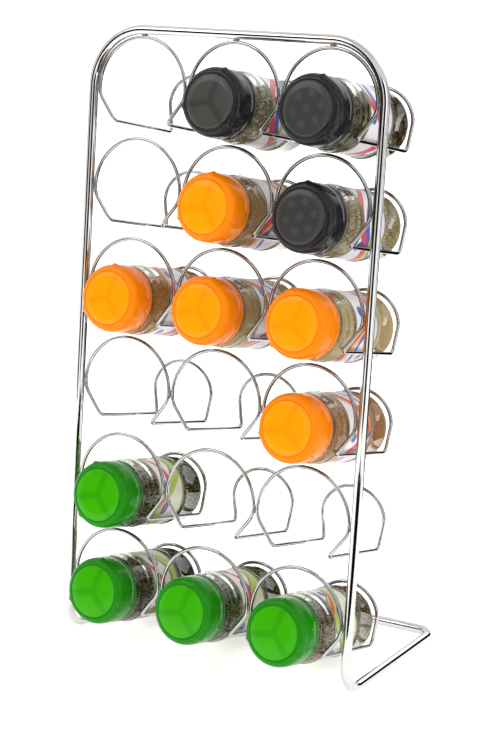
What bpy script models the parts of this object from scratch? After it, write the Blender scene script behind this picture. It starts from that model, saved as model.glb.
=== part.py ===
"""Free-standing wire spice rack holding glass spice jars with screw caps.

One bent rod makes the frame. Eighteen bent wire loops are welded inside it, and
twelve of them hold a jar. Units are metres, +Z is up and the jars' caps face -Y.
Rows are counted from the top and columns from the left, seen from the caps.
"""
import math

import bmesh
import bpy
from mathutils import Matrix, Quaternion, Vector

MM = 0.001

# Layout of the holders
ROWS = 6
COLUMNS = 3

# Rod, wire and the gap left where two welded pieces touch
ROD_RADIUS = 3.0 * MM
WIRE_RADIUS = 1.2 * MM
WELD_GAP = 0.3 * MM

# How much of the straight stretch beside it a bend may use
SHARE_BESIDE_POINT = 0.95
SHARE_BESIDE_BEND = 0.48

# Frame rod
LEAN = math.radians(6.5)
FOOT_LENGTH = 115.0 * MM
BASE_BEND_RADIUS = 15.0 * MM
REAR_BEND_RADIUS = 10.0 * MM
TABLE_GAP = 2.0 * MM

# Wire holder: a front ring, two rails and a rear arch
RAIL_DROP = math.radians(12.8)
RING_RADIUS = 30.8 * MM
RING_EASE_ANGLE = math.radians(-8.0)
RING_EASE_RADIUS = 12.0 * MM
RAIL_HALF_SPACING = 18.8 * MM
RAIL_BELOW_CENTRE = 19.6 * MM
RAIL_LENGTH = 63.5 * MM
WIRE_BEND_RADIUS = 3.6 * MM
ARCH_HALF_WIDTH = 21.4 * MM
ARCH_LEG_HEIGHT = 17.0 * MM
ARCH_HEIGHT = 36.6 * MM
ROW_GAP = 0.4 * MM

# Glass jar
JAR_RADIUS = 21.6 * MM
JAR_LENGTH = 90.0 * MM
JAR_HEEL_RADIUS = 8.0 * MM
JAR_SHOULDER_ROUND = 3.0 * MM
JAR_SHOULDER_GAP = 0.5 * MM
JAR_BASE_THICKNESS = 3.0 * MM
GLASS_WALL = 2.0 * MM
SEAT_GAP = 0.3 * MM

# Cap
CAP_RADIUS = 20.6 * MM
CAP_LENGTH = 18.0 * MM
CAP_WALL = 1.4 * MM
CAP_FRONT_THICKNESS = 1.5 * MM
CAP_EDGE_ROUND = 3.0 * MM
CAP_DISC_RADIUS = 15.6 * MM
CAP_DISC_STEP = 1.0 * MM
NECK_GAP = 0.3 * MM

# Loose spice, kept clear of the glass
FILL_GAP = 0.3 * MM
FILL_HEADSPACE = 6.0 * MM

# Facets
ROD_SIDES = 12
WIRE_SIDES = 6
JAR_SIDES = 16
ROD_BEND_STEPS = 6
WIRE_BEND_STEPS = 2
RING_STEPS = 10
ARCH_STEPS = 7
ARCH_LEG_CHECKS = 8
HEEL_STEPS = 3

# Plain colours and finishes
CHROME = (0.80, 0.80, 0.82)
CLEAR_GLASS = (0.92, 0.95, 0.92)
CHROME_ROUGHNESS = 0.10
GLASS_ROUGHNESS = 0.02
CAP_ROUGHNESS = 0.3
SPICE_ROUGHNESS = 0.9

# Which holders are full: (row, column): (cap colour, contents colour)
ORANGE = (0.95, 0.36, 0.02)
GREEN = (0.04, 0.42, 0.03)
GREY = (0.07, 0.07, 0.08)
JARS = {
    (1, 2): (GREY, (0.36, 0.30, 0.16)),
    (1, 3): (GREY, (0.10, 0.08, 0.05)),
    (2, 2): (ORANGE, (0.45, 0.30, 0.14)),
    (2, 3): (GREY, (0.50, 0.40, 0.22)),
    (3, 1): (ORANGE, (0.42, 0.34, 0.14)),
    (3, 2): (ORANGE, (0.62, 0.46, 0.20)),
    (3, 3): (ORANGE, (0.66, 0.58, 0.36)),
    (4, 3): (ORANGE, (0.38, 0.12, 0.05)),
    (5, 1): (GREEN, (0.20, 0.20, 0.09)),
    (6, 1): (GREEN, (0.12, 0.14, 0.06)),
    (6, 2): (GREEN, (0.16, 0.24, 0.08)),
    (6, 3): (GREEN, (0.26, 0.22, 0.10)),
}

# Directions: up the frame, back along the rails, and square to the rails
FRAME_UP = Vector((0.0, math.sin(LEAN), math.cos(LEAN)))
RAIL_BACK = Vector((0.0, math.cos(RAIL_DROP), -math.sin(RAIL_DROP)))
RAIL_UP = Vector((0.0, math.sin(RAIL_DROP), math.cos(RAIL_DROP)))
ACROSS = Vector((1.0, 0.0, 0.0))
LEAN_TO_RAIL = math.cos(RAIL_DROP - LEAN)

# Sizes that follow from the ones above
COLUMN_PITCH = 2.0 * (RING_RADIUS + WIRE_RADIUS) + WELD_GAP
TOP_BEND_RADIUS = RING_RADIUS + WIRE_RADIUS + WELD_GAP + ROD_RADIUS
FRAME_HALF_WIDTH = TOP_BEND_RADIUS + COLUMN_PITCH * (COLUMNS - 1) / 2.0
JAR_CLEAR_RADIUS = JAR_RADIUS + SEAT_GAP + WIRE_RADIUS
JAR_ABOVE_RAILS = math.sqrt(JAR_CLEAR_RADIUS ** 2 - RAIL_HALF_SPACING ** 2)
JAR_BELOW_CENTRE = RAIL_BELOW_CENTRE - JAR_ABOVE_RAILS / LEAN_TO_RAIL
JAR_LOW_REACH = JAR_BELOW_CENTRE + JAR_RADIUS / LEAN_TO_RAIL
ROW_PITCH = RING_RADIUS + WIRE_RADIUS + JAR_LOW_REACH + ROW_GAP
NECK_RADIUS = CAP_RADIUS - CAP_WALL - NECK_GAP
CAP_DEPTH = CAP_LENGTH - CAP_FRONT_THICKNESS
NECK_LENGTH = CAP_DEPTH - CAP_EDGE_ROUND - NECK_GAP


def clear_scene():
    """Remove every object that is in the scene."""
    for old in list(bpy.data.objects):
        bpy.data.objects.remove(old, do_unlink=True)


def finish(name, colour, roughness, metallic=0.0, transmission=0.0):
    """Return a plain material."""
    material = bpy.data.materials.new(name)
    material.use_nodes = True
    shader = material.node_tree.nodes["Principled BSDF"]
    shader.inputs["Base Color"].default_value = (*colour, 1.0)
    shader.inputs["Roughness"].default_value = roughness
    shader.inputs["Metallic"].default_value = metallic
    shader.inputs["Transmission Weight"].default_value = transmission
    return material


def new_object(name, shape, material, parent):
    """Turn a bmesh into a named object with a material and a parent."""
    bmesh.ops.recalc_face_normals(shape, faces=shape.faces)
    mesh = bpy.data.meshes.new(name)
    shape.to_mesh(mesh)
    shape.free()
    mesh.materials.append(material)
    made = bpy.data.objects.new(name, mesh)
    bpy.context.scene.collection.objects.link(made)
    made.parent = parent
    return made


def new_empty(name, parent=None):
    """Return an empty that other objects hang from."""
    empty = bpy.data.objects.new(name, None)
    bpy.context.scene.collection.objects.link(empty)
    empty.parent = parent
    return empty


def arc(centre, radius, start, end, steps):
    """Return the (across, up) points of an arc, both ends included."""
    points = []
    for step in range(steps + 1):
        angle = start + (end - start) * step / steps
        across = centre[0] + radius * math.cos(angle)
        up = centre[1] + radius * math.sin(angle)
        points.append((across, up))
    return points


def stretch_room(corner, neighbour, neighbour_radius):
    """Return how far a bend may reach along the stretch to its neighbour."""
    share = SHARE_BESIDE_POINT if neighbour_radius == 0.0 else SHARE_BESIDE_BEND
    return share * (neighbour - corner).length


def corner_arc(before, corner, after, radius, room, steps):
    """Round one corner between two straight stretches, reaching no further than the room."""
    to_before = (before - corner).normalized()
    to_after = (after - corner).normalized()
    half_angle = to_before.angle(to_after) / 2.0
    reach = min(radius / math.tan(half_angle), room)
    radius = reach * math.tan(half_angle)
    centre = corner + (to_before + to_after).normalized() * radius / math.sin(half_angle)
    first = corner + to_before * reach - centre
    last = corner + to_after * reach - centre
    turn = first.rotation_difference(last)
    still = Quaternion()
    return [centre + still.slerp(turn, step / steps) @ first for step in range(steps + 1)]


def rounded(corners, steps):
    """Round the (point, radius) corners of a closed path; radius 0 stays as it is."""
    path = []
    for index, (corner, radius) in enumerate(corners):
        before, radius_before = corners[index - 1]
        after, radius_after = corners[(index + 1) % len(corners)]
        if radius == 0.0:
            path.append(corner)
            continue
        room_before = stretch_room(corner, before, radius_before)
        room_after = stretch_room(corner, after, radius_after)
        room = min(room_before, room_after)
        path.extend(corner_arc(before, corner, after, radius, room, steps))
    return path


def loop_tube(name, path, radius, sides, normal, material, parent):
    """Sweep a round section along a closed path, carrying its normal along."""
    shape = bmesh.new()
    count = len(path)
    tangents = []
    for index, point in enumerate(path):
        into = (point - path[index - 1]).normalized()
        out = (path[(index + 1) % count] - point).normalized()
        tangents.append((into + out).normalized())
    rings = []
    for index, point in enumerate(path):
        if index:
            normal = tangents[index - 1].rotation_difference(tangents[index]) @ normal
        side = tangents[index].cross(normal).normalized()
        ring = []
        for step in range(sides):
            angle = 2.0 * math.pi * (step + 0.5) / sides
            offset = normal * math.cos(angle) + side * math.sin(angle)
            ring.append(shape.verts.new(point + offset * radius))
        rings.append(ring)
    for index, ring in enumerate(rings):
        following = rings[(index + 1) % count]
        for step in range(sides):
            next_step = (step + 1) % sides
            shape.faces.new((ring[step], ring[next_step], following[next_step], following[step]))
    return new_object(name, shape, material, parent)


def revolved(name, outline, sides, material, parent):
    """Turn a closed (radius, height) outline about local Z; ends on the axis are poles."""
    shape = bmesh.new()
    rings = []
    for radius, height in outline:
        if radius == 0.0:
            rings.append([shape.verts.new((0.0, 0.0, height))])
            continue
        ring = []
        for step in range(sides):
            angle = 2.0 * math.pi * step / sides
            ring.append(shape.verts.new((radius * math.cos(angle), radius * math.sin(angle), height)))
        rings.append(ring)
    for lower, upper in zip(rings, rings[1:]):
        for step in range(sides):
            next_step = (step + 1) % sides
            corners = [lower[step % len(lower)], lower[next_step % len(lower)]]
            corners += [upper[next_step % len(upper)], upper[step % len(upper)]]
            shape.faces.new(list(dict.fromkeys(corners)))
    return new_object(name, shape, material, parent)


def in_frame(across, up):
    """Return the point at a distance across and up the leaning frame plane."""
    return ACROSS * across + FRAME_UP * up


def arch_outline():
    """Return the rear arch's (across, up) points above the rails, left to right."""
    crown = ARCH_HEIGHT - ARCH_LEG_HEIGHT
    points = []
    for step in range(ARCH_STEPS + 1):
        angle = math.pi * (1.0 - step / ARCH_STEPS)
        across = ARCH_HALF_WIDTH * math.cos(angle)
        points.append((across, ARCH_LEG_HEIGHT + crown * math.sin(angle)))
    return points


def arch_wire_points():
    """Return (across, up) points along one leg of the rear arch and over its crown."""
    leg = []
    for step in range(ARCH_LEG_CHECKS):
        share = step / ARCH_LEG_CHECKS
        across = RAIL_HALF_SPACING + (ARCH_HALF_WIDTH - RAIL_HALF_SPACING) * share
        leg.append((across, ARCH_LEG_HEIGHT * share))
    return leg + arch_outline()


def jar_rear_distance():
    """Return how far behind the ring plane the jar's base lies, stopped by the arch."""
    axis_height = JAR_ABOVE_RAILS / LEAN_TO_RAIL
    heel_centre = JAR_RADIUS - JAR_HEEL_RADIUS
    clearance = WIRE_RADIUS + SEAT_GAP
    stops = []
    for across, up in arch_wire_points():
        away = math.hypot(across, (up - axis_height) * LEAN_TO_RAIL)
        back = RAIL_LENGTH - up * math.sin(RAIL_DROP - LEAN)
        if away <= heel_centre:
            stops.append(back - clearance)
        elif away < JAR_RADIUS + clearance:
            reach = (JAR_HEEL_RADIUS + clearance) ** 2 - (away - heel_centre) ** 2
            stops.append(back + JAR_HEEL_RADIUS - math.sqrt(reach))
    return min(stops, default=RAIL_LENGTH)


def bottom_row_height():
    """Return the bottom ring centre's height up the frame, jars clear of the table."""
    heel_start = jar_rear_distance() - JAR_HEEL_RADIUS
    below_axis = (JAR_RADIUS - JAR_HEEL_RADIUS) * math.cos(RAIL_DROP) + JAR_HEEL_RADIUS
    axis_height = TABLE_GAP - ROD_RADIUS + heel_start * math.sin(RAIL_DROP) + below_axis
    return JAR_BELOW_CENTRE + axis_height / math.cos(LEAN)


def ring_centre(row, column):
    """Return a holder's ring centre in the frame plane as (across, up)."""
    across = (column - (COLUMNS + 1) / 2.0) * COLUMN_PITCH
    up = bottom_row_height() + (ROWS - row) * ROW_PITCH
    return across, up


def build_frame(material, root):
    """Build the one bent rod that carries all the holders."""
    top = ring_centre(1, 1)[1] + TOP_BEND_RADIUS
    base_left = Vector((-FRAME_HALF_WIDTH, 0.0, 0.0))
    base_right = Vector((FRAME_HALF_WIDTH, 0.0, 0.0))
    foot = Vector((0.0, FOOT_LENGTH, 0.0))
    corners = [
        (base_left + foot, REAR_BEND_RADIUS),
        (base_right + foot, REAR_BEND_RADIUS),
        (base_right, BASE_BEND_RADIUS),
        (in_frame(FRAME_HALF_WIDTH, top), TOP_BEND_RADIUS),
        (in_frame(-FRAME_HALF_WIDTH, top), TOP_BEND_RADIUS),
        (base_left, BASE_BEND_RADIUS),
    ]
    path = rounded(corners, ROD_BEND_STEPS)
    up = Vector((0.0, 0.0, 1.0))
    return loop_tube("frame", path, ROD_RADIUS, ROD_SIDES, up, material, root)


def ring_corners():
    """Return the front ring's (across, up, bend radius) from its right foot over the top."""
    upper_half = arc((0.0, 0.0), RING_RADIUS, 0.0, math.pi, RING_STEPS)
    ease_across = RING_RADIUS * math.cos(RING_EASE_ANGLE)
    ease_up = RING_RADIUS * math.sin(RING_EASE_ANGLE)
    right = [(RAIL_HALF_SPACING, -RAIL_BELOW_CENTRE, WIRE_BEND_RADIUS)]
    right.append((ease_across, ease_up, RING_EASE_RADIUS))
    left = [(-across, up, bend) for across, up, bend in reversed(right)]
    return right + [(across, up, 0.0) for across, up in upper_half] + left


def build_holder(row, column, material, root):
    """Build one closed wire loop: ring, bends, rails and rear arch."""
    across, up = ring_centre(row, column)
    centre = in_frame(across, up)
    rail_end = centre + in_frame(0.0, -RAIL_BELOW_CENTRE) + RAIL_BACK * RAIL_LENGTH
    left_end = rail_end - ACROSS * RAIL_HALF_SPACING
    right_end = rail_end + ACROSS * RAIL_HALF_SPACING
    arch = [rail_end + in_frame(*point) for point in arch_outline()]
    corners = [(centre + in_frame(*point), bend) for *point, bend in ring_corners()]
    corners.append((left_end, WIRE_BEND_RADIUS))
    corners += [(point, 0.0) for point in arch]
    corners.append((right_end, WIRE_BEND_RADIUS))
    path = rounded(corners, WIRE_BEND_STEPS)
    name = f"holder_r{row}c{column}"
    return loop_tube(name, path, WIRE_RADIUS, WIRE_SIDES, ACROSS, material, root)


def build_glass(tag, material, jar):
    """Build the hollow glass; local Z runs from the base to the mouth."""
    cap_rear = JAR_LENGTH - CAP_LENGTH
    shoulder = cap_rear - JAR_SHOULDER_GAP
    mouth = cap_rear + NECK_LENGTH
    inner_radius = JAR_RADIUS - GLASS_WALL
    mouth_radius = NECK_RADIUS - GLASS_WALL
    heel = arc(
        (JAR_RADIUS - JAR_HEEL_RADIUS, JAR_HEEL_RADIUS),
        JAR_HEEL_RADIUS, -math.pi / 2.0, 0.0, HEEL_STEPS,
    )
    inner_heel = JAR_HEEL_RADIUS - GLASS_WALL
    outline = [(0.0, 0.0)] + heel
    outline += [
        (JAR_RADIUS, shoulder - JAR_SHOULDER_ROUND),
        (NECK_RADIUS, shoulder),
        (NECK_RADIUS, mouth),
        (mouth_radius, mouth),
        (mouth_radius, shoulder),
        (inner_radius, shoulder - JAR_SHOULDER_ROUND - GLASS_WALL),
        (inner_radius, JAR_BASE_THICKNESS + inner_heel),
        (inner_radius - inner_heel, JAR_BASE_THICKNESS),
        (0.0, JAR_BASE_THICKNESS),
    ]
    return revolved(f"jar_glass_{tag}", outline, JAR_SIDES, material, jar)


def build_contents(tag, material, jar):
    """Build the plug of loose spice that lies inside the glass."""
    radius = JAR_RADIUS - GLASS_WALL - FILL_GAP
    inner_heel = JAR_HEEL_RADIUS - GLASS_WALL
    low = JAR_BASE_THICKNESS + FILL_GAP
    shoulder = JAR_LENGTH - CAP_LENGTH - JAR_SHOULDER_GAP
    high = shoulder - JAR_SHOULDER_ROUND - GLASS_WALL - FILL_HEADSPACE
    outline = [
        (0.0, low),
        (radius - inner_heel, low),
        (radius, low + inner_heel),
        (radius, high),
        (0.0, high),
    ]
    return revolved(f"jar_contents_{tag}", outline, JAR_SIDES, material, jar)


def build_cap(tag, material, jar):
    """Build the hollow screw cap; its origin is on the jar's axis at the cap's rear."""
    face = CAP_LENGTH - CAP_DISC_STEP
    inner_radius = CAP_RADIUS - CAP_WALL
    outline = [
        (0.0, CAP_DEPTH),
        (inner_radius - CAP_EDGE_ROUND, CAP_DEPTH),
        (inner_radius, CAP_DEPTH - CAP_EDGE_ROUND),
        (inner_radius, 0.0),
        (CAP_RADIUS, 0.0),
        (CAP_RADIUS, face - CAP_EDGE_ROUND),
        (CAP_RADIUS - CAP_EDGE_ROUND, face),
        (CAP_DISC_RADIUS, face),
        (CAP_DISC_RADIUS, CAP_LENGTH),
        (0.0, CAP_LENGTH),
    ]
    cap = revolved(f"jar_cap_{tag}", outline, JAR_SIDES, material, jar)
    cap.location = (0.0, 0.0, JAR_LENGTH - CAP_LENGTH)
    return cap


def build_jar(row, column, cap_colour, contents_colour, glass, root):
    """Build one jar lying in its holder, cap forward."""
    tag = f"r{row}c{column}"
    across, up = ring_centre(row, column)
    axis_point = in_frame(across, up - JAR_BELOW_CENTRE)
    jar = new_empty(f"jar_{tag}", root)
    jar.location = axis_point + RAIL_BACK * jar_rear_distance()
    jar.rotation_euler = Matrix((ACROSS, RAIL_UP, -RAIL_BACK)).transposed().to_euler()
    build_glass(tag, glass, jar)
    build_contents(tag, finish(f"spice_{tag}", contents_colour, SPICE_ROUGHNESS), jar)
    build_cap(tag, finish(f"cap_plastic_{tag}", cap_colour, CAP_ROUGHNESS), jar)


def stand_on_origin(root):
    """Move everything so the bounding box's bottom centre is the world origin."""
    bpy.context.view_layer.update()
    points = []
    for item in bpy.context.scene.objects:
        if item.type == "MESH":
            points += [item.matrix_world @ vertex.co for vertex in item.data.vertices]
    low = Vector([min(point[axis] for point in points) for axis in range(3)])
    high = Vector([max(point[axis] for point in points) for axis in range(3)])
    middle = (low + high) / 2.0
    root.location -= Vector((middle.x, middle.y, low.z))
    bpy.context.view_layer.update()


def main():
    """Build the whole rack."""
    clear_scene()
    chrome = finish("chrome", CHROME, CHROME_ROUGHNESS, metallic=1.0)
    glass = finish("glass", CLEAR_GLASS, GLASS_ROUGHNESS, transmission=1.0)
    root = new_empty("rack_root")
    build_frame(chrome, root)
    for row in range(1, ROWS + 1):
        for column in range(1, COLUMNS + 1):
            build_holder(row, column, chrome, root)
    for (row, column), (cap_colour, contents_colour) in JARS.items():
        build_jar(row, column, cap_colour, contents_colour, glass, root)
    stand_on_origin(root)


main()
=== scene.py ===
"""Looks for the wire spice rack: smooth chrome wire, glass jars, caps, labels and spices."""

import math
import random

import bmesh
import bpy
from mathutils import Matrix, Quaternion, Vector, noise


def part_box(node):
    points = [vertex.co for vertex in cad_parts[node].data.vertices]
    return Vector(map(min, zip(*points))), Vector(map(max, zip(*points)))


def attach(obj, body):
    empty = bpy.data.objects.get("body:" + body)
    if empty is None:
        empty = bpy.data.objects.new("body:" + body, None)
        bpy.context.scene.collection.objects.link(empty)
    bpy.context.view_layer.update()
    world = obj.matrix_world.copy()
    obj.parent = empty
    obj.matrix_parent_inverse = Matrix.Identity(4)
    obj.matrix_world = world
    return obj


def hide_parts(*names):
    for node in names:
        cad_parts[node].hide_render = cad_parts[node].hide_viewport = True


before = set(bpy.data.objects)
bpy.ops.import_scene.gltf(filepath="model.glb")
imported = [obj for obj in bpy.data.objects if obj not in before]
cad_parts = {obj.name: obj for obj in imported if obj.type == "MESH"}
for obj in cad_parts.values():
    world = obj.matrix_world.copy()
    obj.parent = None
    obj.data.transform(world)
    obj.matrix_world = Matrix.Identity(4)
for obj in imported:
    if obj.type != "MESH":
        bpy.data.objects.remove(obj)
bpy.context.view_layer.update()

MM = 0.001

# The rack's own sizes, as the CAD has them
ROWS = 6
COLUMNS = 3
LEAN = math.radians(6.5)
RAIL_DROP = math.radians(12.8)
CAD_ROD_RADIUS = 3.0 * MM
CAD_ROD_SIDES = 12
CAD_WIRE_RADIUS = 1.2 * MM
ROD_CENTRE_INSET = CAD_ROD_RADIUS * math.cos(math.pi / CAD_ROD_SIDES)
RING_RADIUS = 30.8 * MM
RING_EASE_ANGLE = math.radians(-8.0)
RING_EASE_RADIUS = 12.0 * MM
RAIL_HALF_SPACING = 18.8 * MM
RAIL_BELOW_CENTRE = 19.6 * MM
RAIL_LENGTH = 63.5 * MM
WIRE_BEND_RADIUS = 3.6 * MM
ARCH_HALF_WIDTH = 21.4 * MM
ARCH_LEG_HEIGHT = 17.0 * MM
ARCH_HEIGHT = 36.6 * MM
BASE_BEND_RADIUS = 15.0 * MM
REAR_BEND_RADIUS = 10.0 * MM
TOP_BEND_RADIUS = 35.3 * MM
FOOT_LENGTH = 115.0 * MM
HOLDER_TOP_REACH = RING_RADIUS * math.cos(LEAN) + CAD_WIRE_RADIUS

# Round tubes, kept a little thinner than the CAD's faceted ones
ROD_RADIUS = 2.9 * MM
WIRE_RADIUS = 1.17 * MM

# Welds: nuggets between wires, and the butt weld that closes each holder's wire
WELD_RADIUS = 1.5 * MM
WELD_LENGTH = 4.5 * MM
WELD_FULLNESS = 0.6
WELD_GRAIN = 0.12
BUTT_WELD_PLACE = 0.58
BUTT_WELD_SWELL = 1.16
BUTT_WELD_REACH = 0.5 * MM
BUTT_WELD_SHIFTS = (-1.0, -0.45, 0.0, 0.45, 1.0)

# Cap and its lugs, along and round the jar's axis
CAP_REAR = 72.0 * MM
CAP_DISC_START = 17.1 * MM
CAP_DISC_EDGE = 0.4 * MM
LUG_HEIGHT = 1.1 * MM
LUG_HALF_ANGLE = math.radians(6.0)
LUG_SPREAD = (0.0, math.radians(118.0), math.radians(245.0))
LUG_LEAST_RADIUS = 17.5 * MM
LUG_REAR = 12.0 * MM
LUG_FRONT = 16.9 * MM

# Sifter plate, and its shadow painted on the cap's disc
SIFTER_REAR = 86.05 * MM
SIFTER_RADIUS = 17.0 * MM
SIFTER_THICKNESS = 0.8 * MM
SIFTER_HOLES = 6
SIFTER_HOLE_RADIUS = 2.3 * MM
SIFTER_HOLE_RING = 9.0 * MM
SIFTER_HOLE_TURN = 15.0         # in degrees
SIFTER_SPOKES = 3
SPOKE_HALF_WIDTH = 1.5          # in millimetres, as the radii below are
SPOKE_PLATE_RADII = (2.4, 5.0, 8.0, 10.5, 12.4, 13.2, 17.0)
SPOKE_OPEN_BANDS = 4            # how many of the inner bands between those radii have openings
SPOKE_TURN = 90.0               # in degrees
SPOKE_SHADOW_TURN = math.radians(72.0)
SPOKE_SHADOW_CORE = 1.0 * MM
SPOKE_SHADOW_EDGE = 2.8 * MM
HOLE_SHADOW_BLUR = 0.9 * MM

# Label, by radius, height and the gap at its seam
LABEL_INNER = 20.99 * MM
LABEL_OUTER = 21.10 * MM
LABEL_LOW = 25.2 * MM
LABEL_HIGH = 53.6 * MM
LABEL_GAP = math.radians(14.0)
LABEL_SHIFT = 0.37              # how far the print moves round from one jar to the next

# Spice in the jar, in millimetres as the profiles are
FILL_INTO_GLASS = 0.2
FILL_FLOOR = 3.0
FILL_TOP = 66.0
FILL_STEP = 1.6
FILL_BASE_RADII = (6.0, 12.0)
FILL_TOP_RADII = (15.0, 12.0, 9.0, 6.0, 3.0)
FILL_WALL = 19.0
FILL_SLOPE = RAIL_DROP + 0.10   # RAIL_DROP alone would be level in the room
FILL_LUMP_SCALE = 160.0
FILL_LUMP_DEPTH = 1.6
FILL_FINE_SCALE = 900.0
FILL_FINE_DEPTH = 0.9
FILL_DENT_DEPTH = 0.35

FRAME_UP = Vector((0.0, math.sin(LEAN), math.cos(LEAN)))
RAIL_BACK = Vector((0.0, math.cos(RAIL_DROP), -math.sin(RAIL_DROP)))
ACROSS = Vector((1.0, 0.0, 0.0))
WORLD_UP = Vector((0.0, 0.0, 1.0))

# How finely things are made
ROD_SIDES = 28
WIRE_SIDES = 14
ROD_BEND_STEPS = 18
WIRE_BEND_STEPS = 7
RING_STEPS = 40
ARCH_STEPS = 26
LATHE_SIDES = 88
FILL_SIDES = 56
WELD_SIDES = 12
WELD_STEPS = 9
LABEL_STEPS_AROUND = 96
LABEL_STEPS_ALONG = 14
SECTOR_STEPS = 18
HOLE_PLATE_GRID = 0.62 * MM
PLATE_SEAM = 0.02 * MM

# Camera, from the photograph's view of the rack
CAMERA_AZIMUTH = math.radians(31.76)
CAMERA_ELEVATION = math.radians(14.35)
CAMERA_DISTANCE = 1.1316
CAMERA_LENS = 96.34
CAMERA_SENSOR = 36.0
CAMERA_TARGET_SHIFT = Vector((32.94 * MM, 0.0, 187.88 * MM))

# Studio: lights by place, size and power, and dark cards by place, aim, size and whether glass shows them
WORLD_STRENGTH = 1.06
FLOOR_GLOW = 0.6
STUDIO_CENTRE = (0.0, 0.0, 0.2)
LIGHTS = {
    "key": ((-0.9, -1.2, 1.3), (0.9, 0.9), 6.0),
    "fill": ((1.6, -0.9, 0.9), (1.0, 1.0), 3.0),
    "back": ((0.2, 1.4, 1.2), (1.2, 0.8), 3.0),
}
DARK_CARDS = {
    "card_right": ((1.3, 0.35, 0.25), STUDIO_CENTRE, (0.22, 1.6), True),
    "card_left": ((-1.3, 0.1, 0.25), STUDIO_CENTRE, (0.24, 1.6), True),
    "card_above": ((0.0, -0.3, 1.6), STUDIO_CENTRE, (1.4, 0.20), True),
    "card_camera": ((0.85, -1.37, 0.40), STUDIO_CENTRE, (1.15, 1.5), False),
    "card_caps": ((-0.80, -1.33, 0.35), STUDIO_CENTRE, (0.95, 1.2), False),
    "card_behind": ((0.67, 1.10, 0.15), STUDIO_CENTRE, (0.85, 0.9), False),
    "card_floor_front": ((0.42, -0.68, 0.002), (0.42, -0.68, 1.0), (0.75, 0.95), False),
    "card_floor_behind": ((0.42, 0.80, 0.002), (0.42, 0.80, 1.0), (0.80, 1.0), False),
}


# ---------------------------------------------------------------- node helpers


class Paint:
    """A material's node tree with short calls for the nodes used here."""

    def __init__(self, name):
        self.material = bpy.data.materials.new(name)
        self.material.use_nodes = True
        self.nodes = self.material.node_tree.nodes
        self.links = self.material.node_tree.links
        self.shader = self.nodes["Principled BSDF"]

    def set(self, **values):
        """Set plain values on the shader; underscores in a name stand for spaces."""
        for name, value in values.items():
            self.shader.inputs[name.replace("_", " ")].default_value = value
        return self

    def feed(self, name, source):
        """Link a socket into the shader."""
        self.links.new(source, self.shader.inputs[name])

    def put(self, socket, value):
        """Link a socket or set a number or colour."""
        if isinstance(value, bpy.types.NodeSocket):
            self.links.new(value, socket)
        else:
            socket.default_value = value

    def place(self, kind="Object"):
        """Return a texture coordinate output."""
        return self.nodes.new("ShaderNodeTexCoord").outputs[kind]

    def noise(self, scale, detail=3.0, rough=0.5):
        """Return a noise factor."""
        node = self.nodes.new("ShaderNodeTexNoise")
        node.inputs["Scale"].default_value = scale
        node.inputs["Detail"].default_value = detail
        node.inputs["Roughness"].default_value = rough
        self.links.new(self.place(), node.inputs["Vector"])
        return node.outputs["Fac"]

    def cells(self, scale, output="Distance", stretch=None):
        """Return a Voronoi output, optionally on stretched coordinates."""
        node = self.nodes.new("ShaderNodeTexVoronoi")
        node.inputs["Scale"].default_value = scale
        vector = self.place()
        if stretch:
            mapping = self.nodes.new("ShaderNodeMapping")
            mapping.inputs["Scale"].default_value = stretch
            self.links.new(vector, mapping.inputs["Vector"])
            vector = mapping.outputs["Vector"]
        self.links.new(vector, node.inputs["Vector"])
        return node.outputs[output]

    def ramp(self, factor, stops):
        """Return a colour from stops of (place, colour)."""
        node = self.nodes.new("ShaderNodeValToRGB")
        elements = node.color_ramp.elements
        while len(elements) < len(stops):
            elements.new(0.5)
        for element, (place, colour) in zip(elements, stops):
            element.position = place
            element.color = (*colour, 1.0)
        self.links.new(factor, node.inputs["Fac"])
        return node.outputs["Color"]

    def span(self, value, low, high, to_low=0.0, to_high=1.0):
        """Map a value from one range to another, clamped."""
        node = self.nodes.new("ShaderNodeMapRange")
        node.inputs["From Min"].default_value = low
        node.inputs["From Max"].default_value = high
        node.inputs["To Min"].default_value = to_low
        node.inputs["To Max"].default_value = to_high
        self.links.new(value, node.inputs["Value"])
        return node.outputs["Result"]

    def math(self, operation, *values):
        """Return one math node's result."""
        node = self.nodes.new("ShaderNodeMath")
        node.operation = operation
        for socket, value in zip(node.inputs, values):
            self.put(socket, value)
        return node.outputs["Value"]

    def axes(self, kind="Object"):
        """Return a texture coordinate's X, Y and Z outputs."""
        split = self.nodes.new("ShaderNodeSeparateXYZ")
        self.links.new(self.place(kind), split.inputs["Vector"])
        return split.outputs["X"], split.outputs["Y"], split.outputs["Z"]

    def mix(self, factor, first, second):
        """Mix two colours."""
        node = self.nodes.new("ShaderNodeMix")
        node.data_type = "RGBA"
        self.put(node.inputs["Factor"], factor)
        for socket, colour in ((node.inputs[6], first), (node.inputs[7], second)):
            self.put(socket, colour if isinstance(colour, bpy.types.NodeSocket) else (*colour, 1.0))
        return node.outputs[2]

    def bump(self, height, distance, strength):
        """Feed a height into the shader's normal."""
        node = self.nodes.new("ShaderNodeBump")
        node.inputs["Strength"].default_value = strength
        node.inputs["Distance"].default_value = distance
        self.links.new(height, node.inputs["Height"])
        self.feed("Normal", node.outputs["Normal"])


# ---------------------------------------------------------------- materials


def chrome_material(name, roughness, tone):
    """Bright chrome plate with faint polishing haze."""
    paint = Paint(name).set(Metallic=1.0, IOR=2.5)
    haze = paint.noise(900.0, 4.0, 0.6)
    bright = (tone + 0.09, tone + 0.085, tone + 0.07)
    paint.feed("Base Color", paint.ramp(haze, [(0.3, (tone,) * 3), (0.7, bright)]))
    paint.feed("Roughness", paint.span(haze, 0.3, 0.7, roughness, roughness + 0.04))
    paint.bump(paint.noise(260.0, 2.0), 0.00002, 0.35)
    return paint.material


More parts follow.
